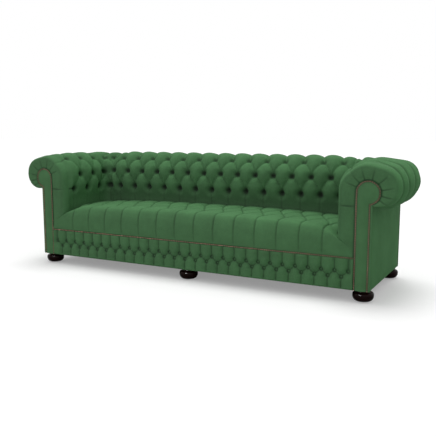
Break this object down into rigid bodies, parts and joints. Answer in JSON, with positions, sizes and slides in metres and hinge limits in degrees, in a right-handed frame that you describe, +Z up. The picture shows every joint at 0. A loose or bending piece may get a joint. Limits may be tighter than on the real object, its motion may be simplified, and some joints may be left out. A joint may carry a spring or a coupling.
{
  "type": "chesterfield sofa",
  "caption": "Long low chesterfield sofa with rolled arms and back at one height, deep-buttoned pads and seat, nailed scroll facings and bun feet.",
  "frame": {"origin": "on the floor, under the centre of the sofa's outline", "axes": "+X along the seat to the right as seen from the front, +Y from the front to the back, +Z up"},
  "size_m": [2.671, 0.8414, 0.7796],
  "materials": {
    "timber": "sawn",
    "plywood": "sawn",
    "steel": "drawn wire",
    "hessian": "coarse weave",
    "black_cloth": "matte",
    "buttoned_cloth": "soft matte pile",
    "plain_cloth": "soft matte pile",
    "nail_heads": "antique",
    "foot_wood": "gloss lacquer",
    "glide_plastic": "moulded"
  },
  "bodies": {
    "root": {"base_front_rail": "timber", "base_back_rail": "timber", "base_side_rail_right": "timber", "base_side_rail_left": "timber", "base_centre_rail": "timber", "spring_rail": "timber", "corner_block_front_right": "timber", "corner_block_front_left": "timber", "corner_block_rear_right": "timber", "corner_block_rear_left": "timber", "arm_front_board_right": "plywood", "arm_front_board_left": "plywood", "arm_tack_rail_right": "timber", "arm_tack_rail_left": "timber", "arm_roll_rail_right": "timber", "arm_roll_rail_left": "timber", "rear_post_right": "timber", "rear_post_left": "timber", "back_roll_rail": "timber", "back_tack_rail": "timber", "back_upright_right": "timber", "back_upright_left": "timber", "seat_springs": "steel", "spring_cover": "hessian", "back_hessian": "hessian", "dust_cover": "black_cloth", "arm_pad_right": "buttoned_cloth", "arm_pad_left": "buttoned_cloth", "back_pad": "buttoned_cloth", "seat_pad": "buttoned_cloth", "front_border_pad": "buttoned_cloth", "arm_facing_right": "plain_cloth", "arm_facing_left": "plain_cloth", "outside_arm_panel_right": "plain_cloth", "outside_arm_panel_left": "plain_cloth", "outside_back_panel": "plain_cloth", "facing_nail_strip_right": "nail_heads", "facing_nail_strip_left": "nail_heads", "seat_nail_strip": "nail_heads", "foot_front_left": "foot_wood", "foot_front_centre": "foot_wood", "foot_front_right": "foot_wood", "foot_rear_left": "foot_wood", "foot_rear_centre": "foot_wood", "foot_rear_right": "foot_wood", "foot_stud_front_left": "steel", "foot_stud_front_centre": "steel", "foot_stud_front_right": "steel", "foot_stud_rear_left": "steel", "foot_stud_rear_centre": "steel", "foot_stud_rear_right": "steel", "foot_glide_front_left": "glide_plastic", "foot_glide_front_centre": "glide_plastic", "foot_glide_front_right": "glide_plastic", "foot_glide_rear_left": "glide_plastic", "foot_glide_rear_centre": "glide_plastic", "foot_glide_rear_right": "glide_plastic"}
  },
  "joints": []
}
